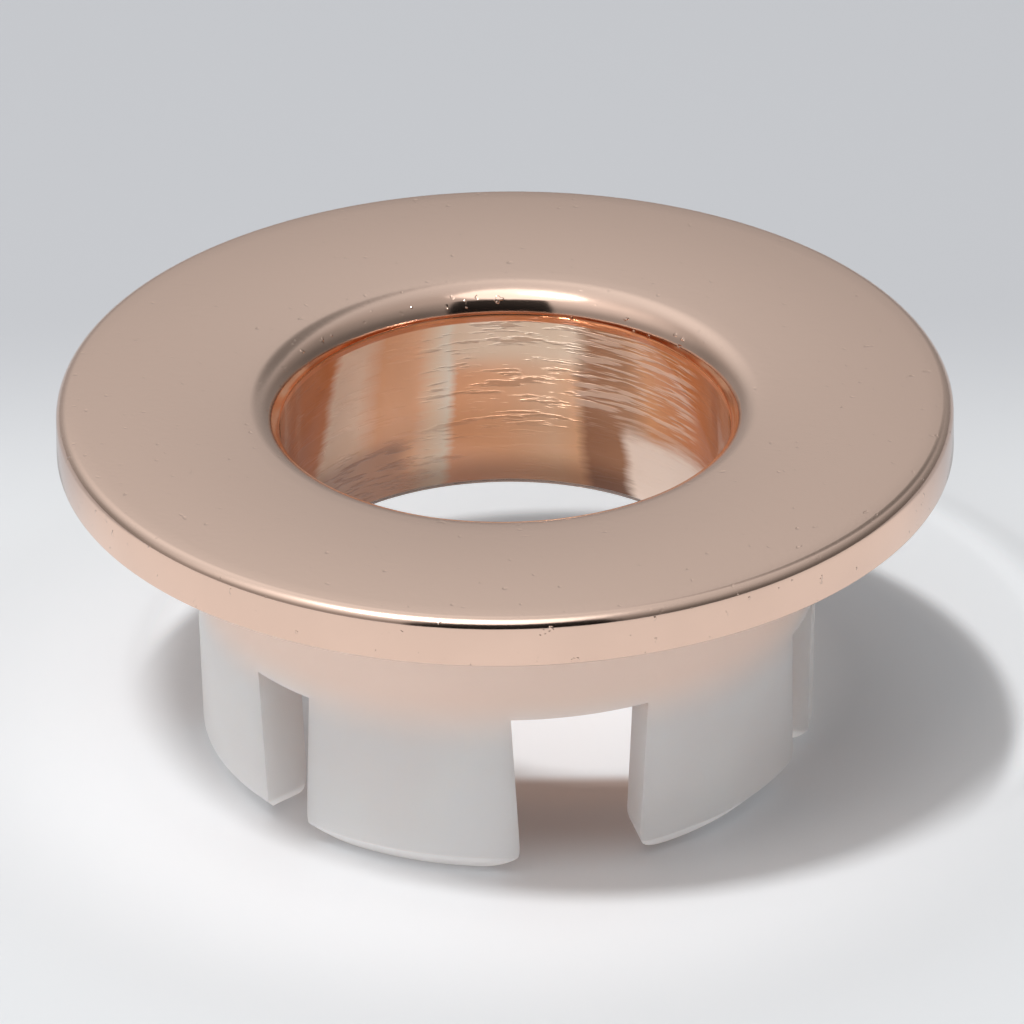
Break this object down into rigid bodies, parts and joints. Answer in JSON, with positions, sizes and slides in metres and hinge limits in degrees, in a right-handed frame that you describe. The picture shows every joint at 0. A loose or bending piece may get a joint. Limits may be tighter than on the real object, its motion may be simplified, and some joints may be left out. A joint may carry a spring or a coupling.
{
  "type": "basin overflow cover",
  "caption": "Round metal overflow ring with a rolled bore lip and a thin sleeve, held in the basin's hole by a plastic clip with spring legs.",
  "frame": {"origin": "centre of the circle on which the clip's legs stand", "axes": "+Z along the ring's axis, from the legs towards the visible face; -Y through the middle of a wide gap between two legs"},
  "size_m": [0.03, 0.03, 0.0126],
  "materials": {
    "plated_metal": "rose gold plate, satin face and bright bore",
    "frosted_plastic": "frosted translucent"
  },
  "bodies": {
    "root": {"flange_ring": "plated_metal", "clip_collar": "frosted_plastic"}
  },
  "joints": []
}
